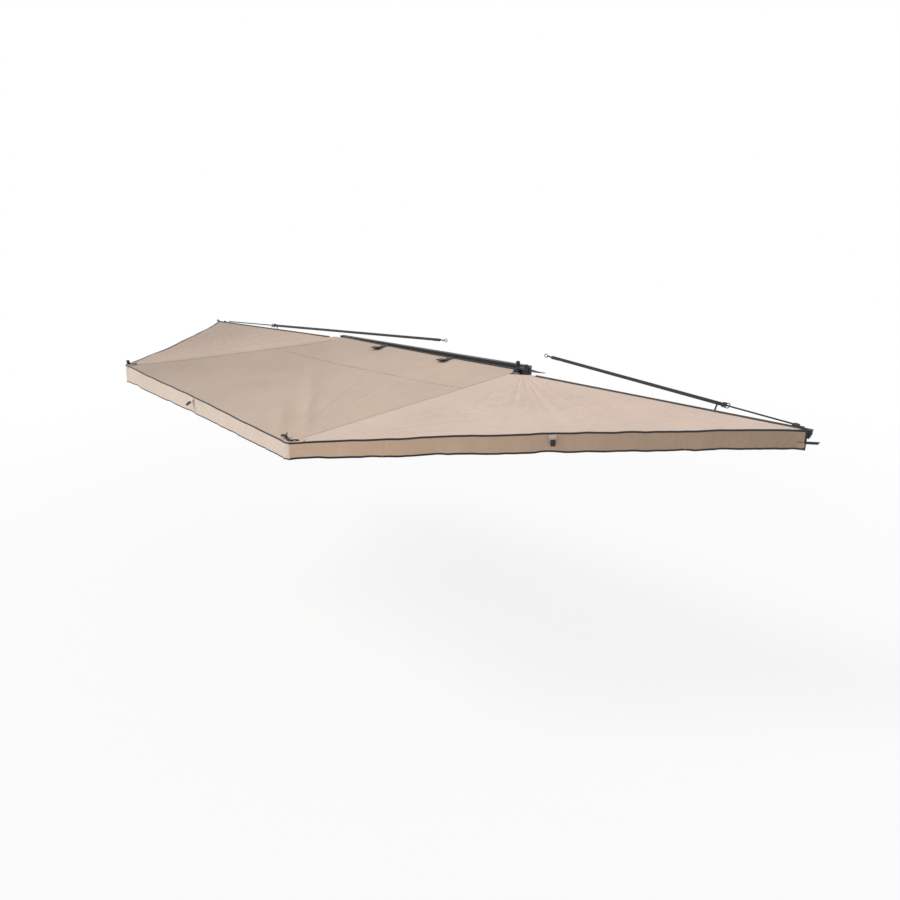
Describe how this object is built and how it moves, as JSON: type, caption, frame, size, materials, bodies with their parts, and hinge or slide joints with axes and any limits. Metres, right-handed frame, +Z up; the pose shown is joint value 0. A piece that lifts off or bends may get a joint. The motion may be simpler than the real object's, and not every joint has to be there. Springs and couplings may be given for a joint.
{
  "type": "vehicle side awning",
  "caption": "Wing awning on a black backbone rail: swinging arms carry a skirted tan canopy, with telescopic legs stowed in the arms and tie-back straps.",
  "frame": {"origin": "centre of the middle bracket's seat face, on the crossbar", "axes": "+X along the backbone rail to the front hub, +Y outboard away from the vehicle, +Z up"},
  "size_m": [5.9738, 2.3062, 0.3009],
  "materials": {
    "black_alloy": "black satin anodised extrusion, plates and brackets",
    "cast_black": "black textured paint on castings",
    "silver_alloy": "silver anodised",
    "bright_steel": "brushed stainless",
    "black_plastic": "matte, finely grained",
    "black_rubber": "matte rubber",
    "black_webbing": "woven polyester webbing",
    "black_vinyl": "coated cloth",
    "tan_canvas": "woven ripstop canvas, sun-faded tan with black bound edges"
  },
  "bodies": {
    "backbone": {"backbone_rail": "black_alloy", "rail_cap_front": "black_plastic", "rail_cap_rear": "black_plastic", "bracket_front": "black_alloy", "bracket_middle": "black_alloy", "bracket_rear": "black_alloy", "front_hub": "cast_black", "rear_hub": "cast_black", "pivot_bolt_a": "bright_steel", "pivot_bolt_b": "bright_steel", "pivot_bolt_c": "cast_black", "pivot_bolt_d": "cast_black", "main_panel": "tan_canvas", "side_skirt": "tan_canvas", "front_tension_strap": "black_webbing", "front_strap_buckle": "bright_steel", "front_strap_ring": "bright_steel", "rear_tension_strap": "black_webbing", "rear_strap_buckle": "bright_steel", "rear_strap_ring": "bright_steel", "closure_strap_front": "black_webbing", "closure_strap_rear": "black_webbing", "stow_bag": "black_vinyl"},
    "arm_a": {"arm_a": "silver_alloy", "arm_cap_a": "cast_black", "leg_pin_a": "bright_steel", "front_wing_panel": "tan_canvas", "front_skirt": "tan_canvas"},
    "leg_a_upper": {"leg_outer_a": "silver_alloy", "leg_lock_a": "black_plastic"},
    "leg_a_middle": {"leg_middle_a": "silver_alloy"},
    "leg_a_lower": {"leg_inner_a": "silver_alloy", "leg_foot_a": "black_rubber"},
    "arm_b": {"arm_b": "silver_alloy", "arm_cap_b": "cast_black", "leg_pin_b": "bright_steel"},
    "leg_b_upper": {"leg_outer_b": "silver_alloy", "leg_lock_b": "black_plastic"},
    "leg_b_middle": {"leg_middle_b": "silver_alloy"},
    "leg_b_lower": {"leg_inner_b": "silver_alloy", "leg_foot_b": "black_rubber"},
    "arm_c": {"arm_c": "silver_alloy", "arm_cap_c": "cast_black", "leg_pin_c": "bright_steel"},
    "leg_c_upper": {"leg_outer_c": "silver_alloy", "leg_lock_c": "black_plastic"},
    "leg_c_middle": {"leg_middle_c": "silver_alloy"},
    "leg_c_lower": {"leg_inner_c": "silver_alloy", "leg_foot_c": "black_rubber"},
    "arm_d": {"arm_d": "silver_alloy", "arm_cap_d": "cast_black", "leg_pin_d": "bright_steel", "rear_wing_panel": "tan_canvas", "rear_skirt": "tan_canvas"},
    "leg_d_upper": {"leg_outer_d": "silver_alloy", "leg_lock_d": "black_plastic"},
    "leg_d_middle": {"leg_middle_d": "silver_alloy"},
    "leg_d_lower": {"leg_inner_d": "silver_alloy", "leg_foot_d": "black_rubber"}
  },
  "joints": [
    {"name": "arm_a_swing", "type": "hinge", "parent": "backbone", "child": "arm_a", "pos_m": [1.04, 0.1463, 0.0566], "axis": [0.0101, 0.0379, 0.9992], "range_deg": [0, 179.8], "deforming": ["main_panel", "side_skirt", "front_wing_panel", "front_skirt", "rear_wing_panel", "rear_skirt", "front_tension_strap", "rear_tension_strap", "closure_strap_front", "closure_strap_rear"]},
    {"name": "arm_b_swing", "type": "hinge", "parent": "backbone", "child": "arm_b", "pos_m": [0.98, 0.1083, 0.0566], "axis": [0.0101, 0.0379, 0.9992], "range_deg": [0, 116.87]},
    {"name": "arm_c_swing", "type": "hinge", "parent": "backbone", "child": "arm_c", "pos_m": [-0.97, 0.1083, 0.0244], "axis": [-0.0101, 0.0379, 0.9992], "range_deg": [-83.91, 0]},
    {"name": "arm_d_swing", "type": "hinge", "parent": "backbone", "child": "arm_d", "pos_m": [-1.07, 0.1463, 0.0244], "axis": [-0.0101, 0.0379, 0.9992], "range_deg": [-179.8, 0]},
    {"name": "leg_a_swing", "type": "hinge", "parent": "arm_a", "child": "leg_a_upper", "pos_m": [2.8536, 0.14482, 0.01873], "axis": [-0.0008, 0.9971, -0.0757], "range_deg": [-90, 0]},
    {"name": "leg_a_upper_slide", "type": "slide", "parent": "leg_a_upper", "child": "leg_a_middle", "axis": [0.9998, -0.0008, -0.0202], "range_m": [-0.58, 0]},
    {"name": "leg_a_lower_slide", "type": "slide", "parent": "leg_a_middle", "child": "leg_a_lower", "axis": [0.9998, -0.0008, -0.0202], "range_m": [-0.58, 0]},
    {"name": "leg_b_swing", "type": "hinge", "parent": "arm_b", "child": "leg_b_upper", "pos_m": [1.80329, 1.72226, -0.03245], "axis": [-0.8909, 0.4519, -0.046], "range_deg": [-90, 0]},
    {"name": "leg_b_upper_slide", "type": "slide", "parent": "leg_b_upper", "child": "leg_b_middle", "axis": [0.4538, 0.8898, -0.0484], "range_m": [-0.58, 0]},
    {"name": "leg_b_lower_slide", "type": "slide", "parent": "leg_b_middle", "child": "leg_b_lower", "axis": [0.4538, 0.8898, -0.0484], "range_m": [-0.58, 0]},
    {"name": "leg_c_swing", "type": "hinge", "parent": "arm_c", "child": "leg_c_upper", "pos_m": [-0.75881, 2.11395, -0.0711], "axis": [-0.9941, 0.1058, 0.0238], "range_deg": [-90, 0]},
    {"name": "leg_c_upper_slide", "type": "slide", "parent": "leg_c_upper", "child": "leg_c_middle", "axis": [0.1046, 0.9934, -0.0467], "range_m": [-0.58, 0]},
    {"name": "leg_c_lower_slide", "type": "slide", "parent": "leg_c_middle", "child": "leg_c_lower", "axis": [0.1046, 0.9934, -0.0467], "range_m": [-0.58, 0]},
    {"name": "leg_d_swing", "type": "hinge", "parent": "arm_d", "child": "leg_d_upper", "pos_m": [-3.06757, 0.14468, -0.01719], "axis": [-0.0008, -0.9971, 0.0757], "range_deg": [-90, 0]},
    {"name": "leg_d_upper_slide", "type": "slide", "parent": "leg_d_upper", "child": "leg_d_middle", "axis": [-0.9998, -0.0008, -0.0202], "range_m": [-0.58, 0]},
    {"name": "leg_d_lower_slide", "type": "slide", "parent": "leg_d_middle", "child": "leg_d_lower", "axis": [-0.9998, -0.0008, -0.0202], "range_m": [-0.58, 0]}
  ],
  "couplings": [
    {"joint": "arm_b_swing", "follows": "arm_a_swing", "ratio": 0.65},
    {"joint": "arm_c_swing", "follows": "arm_a_swing", "ratio": -0.46667},
    {"joint": "arm_d_swing", "follows": "arm_a_swing", "ratio": -1}
  ]
}
